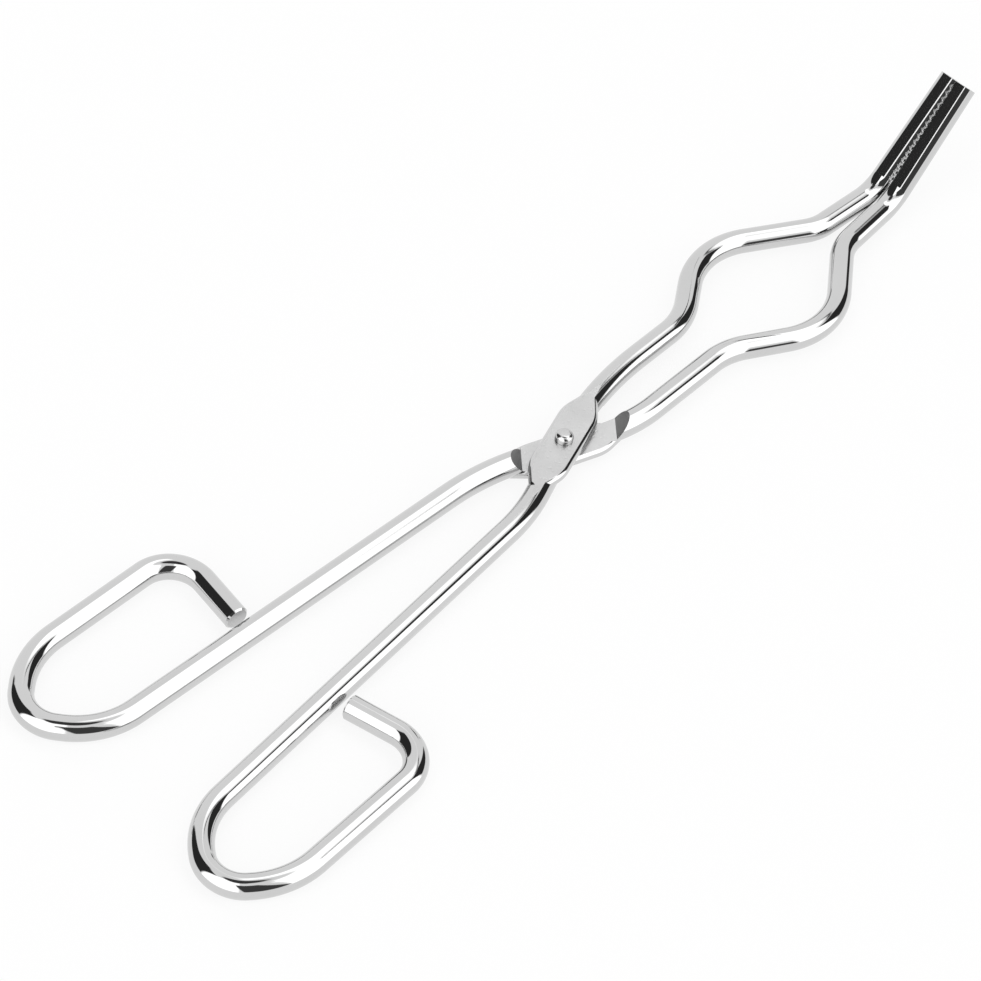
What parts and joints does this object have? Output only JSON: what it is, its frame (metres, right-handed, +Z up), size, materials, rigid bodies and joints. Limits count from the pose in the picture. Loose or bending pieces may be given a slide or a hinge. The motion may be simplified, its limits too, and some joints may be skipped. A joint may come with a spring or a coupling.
{
  "type": "crucible tongs",
  "caption": "Polished rod tongs with bowed, serrated, upturned jaws and open finger loops, crossing in a half lap on one rivet, for lifting hot crucibles.",
  "frame": {"origin": "on the pivot axis, at the flat underside of the rivet, level with the bench", "axes": "+X to the jaws, +Y to the side of the upper arm's jaw, +Z up along the pivot axis, the way the jaw tips bend"},
  "size_m": [0.2502, 0.0739, 0.0258],
  "materials": {
    "upper_arm_steel": "mirror-polished round rod, satin where it is pressed flat at the pivot, dull sawn end",
    "lower_arm_steel": "mirror-polished round rod, satin where it is pressed flat at the pivot, dull sawn end",
    "rivet_steel": "peened and tumbled bright"
  },
  "bodies": {
    "lower": {"lower_arm": "lower_arm_steel", "pivot_rivet": "rivet_steel"},
    "upper": {"upper_arm": "upper_arm_steel"}
  },
  "joints": [
    {"name": "arm_pivot", "type": "hinge", "parent": "lower", "child": "upper", "pos_m": [0, 0, 0.00368], "axis": [0, 0, 1], "range_deg": [0, 95]}
  ]
}
